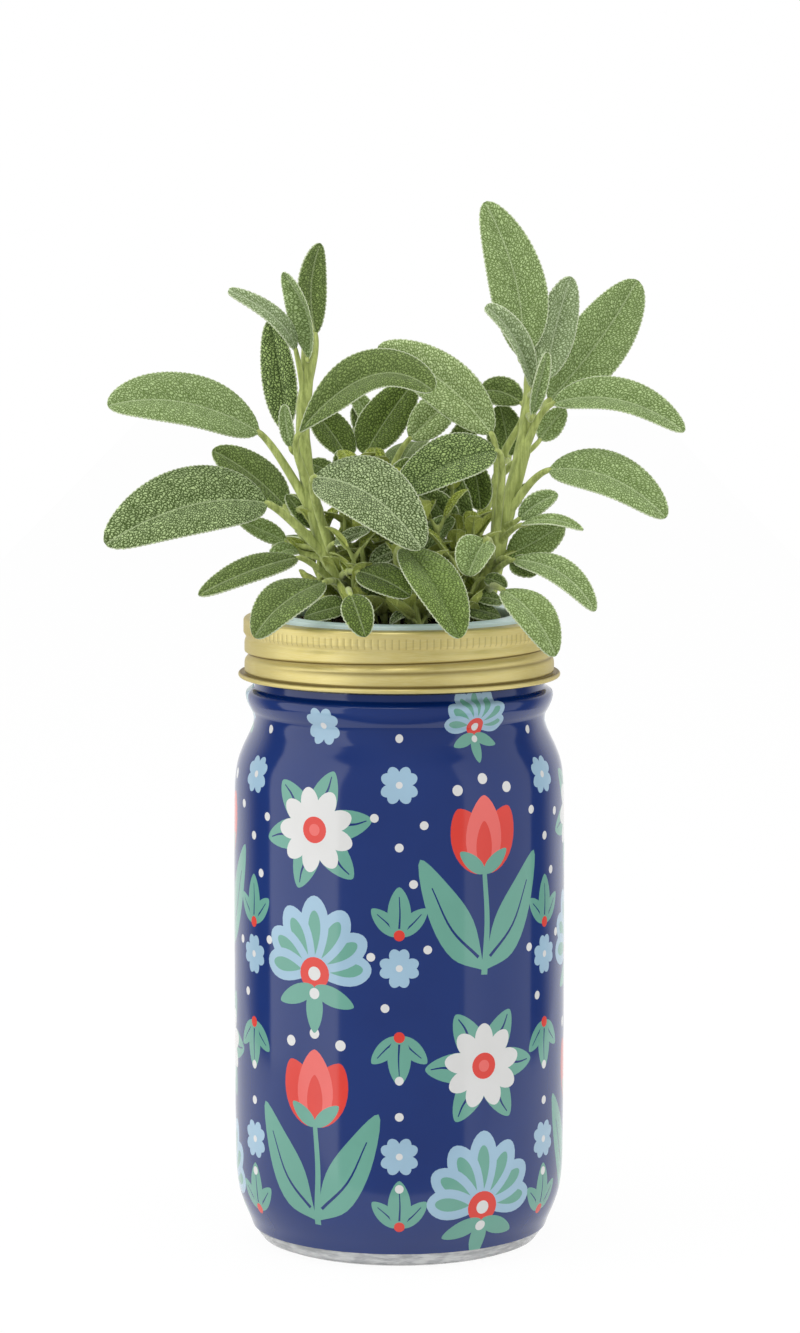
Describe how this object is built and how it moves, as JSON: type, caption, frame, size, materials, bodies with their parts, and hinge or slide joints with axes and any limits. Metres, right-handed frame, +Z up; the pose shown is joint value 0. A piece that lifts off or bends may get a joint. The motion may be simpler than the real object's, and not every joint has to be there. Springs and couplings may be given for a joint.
{
  "type": "herb garden jar",
  "caption": "Self-watering glass jar planter: printed sleeve, gold screw band, seal ring, slotted cup, felt wick and growing plug under a leafy sage plant.",
  "frame": {"origin": "centre of the jar's base ring, on the table", "axes": "+Z up along the jar's axis, -Y is the front shown in the picture, +X is right in the picture"},
  "size_m": [0.1571, 0.1053, 0.2908],
  "materials": {
    "clear_glass": "clear moulded soda-lime glass",
    "printed_film": "glossy navy film with a printed folk flower repeat",
    "gold_band": "brushed tinplate under pale gold lacquer",
    "pale_seal": "pale blue soft ring, satin",
    "dark_plastic": "matte moulded plastic",
    "felt": "off-white felt",
    "coir": "damp dark coir fibre",
    "stem_green": "fine-haired pale green stem",
    "sage_leaf": "pebbled, felted grey-green leaf"
  },
  "bodies": {
    "jar": {"glass_jar": "clear_glass", "printed_sleeve": "printed_film"},
    "cup": {"net_cup": "dark_plastic", "wick": "felt"},
    "seal": {"seal_ring": "pale_seal"},
    "band": {"screw_band": "gold_band"},
    "plant": {"growing_plug": "coir", "stem_left": "stem_green", "stem_right": "stem_green", "stem_front": "stem_green", "stem_back": "stem_green", "stem_rear_right": "stem_green", "stem_rear_left": "stem_green", "leaf_left_top": "sage_leaf", "leaf_left_top_fold": "sage_leaf", "leaf_left_top_curl": "sage_leaf", "leaf_left_upright": "sage_leaf", "leaf_left_bud": "sage_leaf", "leaf_left_low": "sage_leaf", "leaf_left_rear": "sage_leaf", "leaf_left_mid": "sage_leaf", "leaf_left_small": "sage_leaf", "leaf_left_curl": "sage_leaf", "leaf_left_flat": "sage_leaf", "leaf_left_droop": "sage_leaf", "leaf_arch_front": "sage_leaf", "leaf_arch_rear": "sage_leaf", "leaf_mid_dark": "sage_leaf", "leaf_mid_dark_left": "sage_leaf", "leaf_mid_pale": "sage_leaf", "leaf_mid_right": "sage_leaf", "leaf_front_big": "sage_leaf", "leaf_front_tuft": "sage_leaf", "leaf_front_low": "sage_leaf", "leaf_front_droop": "sage_leaf", "leaf_front_small": "sage_leaf", "leaf_heart": "sage_leaf", "leaf_right_tall": "sage_leaf", "leaf_right_pale": "sage_leaf", "leaf_right_wide": "sage_leaf", "leaf_right_curl": "sage_leaf", "leaf_right_bud": "sage_leaf", "leaf_right_arch": "sage_leaf", "leaf_right_low": "sage_leaf", "leaf_right_twig_up": "sage_leaf", "leaf_right_twig": "sage_leaf", "leaf_right_dark": "sage_leaf", "leaf_right_flat": "sage_leaf", "leaf_right_tiny": "sage_leaf", "leaf_right_droop": "sage_leaf", "leaf_right_rear_top": "sage_leaf", "leaf_right_rear_mid": "sage_leaf", "leaf_right_rear_low": "sage_leaf", "leaf_rear_mid": "sage_leaf", "leaf_rear_left": "sage_leaf", "leaf_rear_right": "sage_leaf", "leaf_rear_low_left": "sage_leaf"}
  },
  "joints": [
    {"name": "cup_lift", "type": "slide", "parent": "jar", "child": "cup", "axis": [0, 0, 1], "range_m": [0, 0.17]},
    {"name": "band_rise", "type": "slide", "parent": "cup", "child": "seal", "axis": [0, 0, 1], "range_m": [0, 0.0064]},
    {"name": "band_turn", "type": "hinge", "parent": "seal", "child": "band", "pos_m": [0, 0, 0.168], "axis": [0, 0, 1], "range_deg": [0, 450]},
    {"name": "plug_lift", "type": "slide", "parent": "cup", "child": "plant", "axis": [0, 0, 1], "range_m": [0, 0.08]}
  ],
  "couplings": [
    {"joint": "band_rise", "follows": "band_turn", "m_per_rad": 0.00080851}
  ]
}
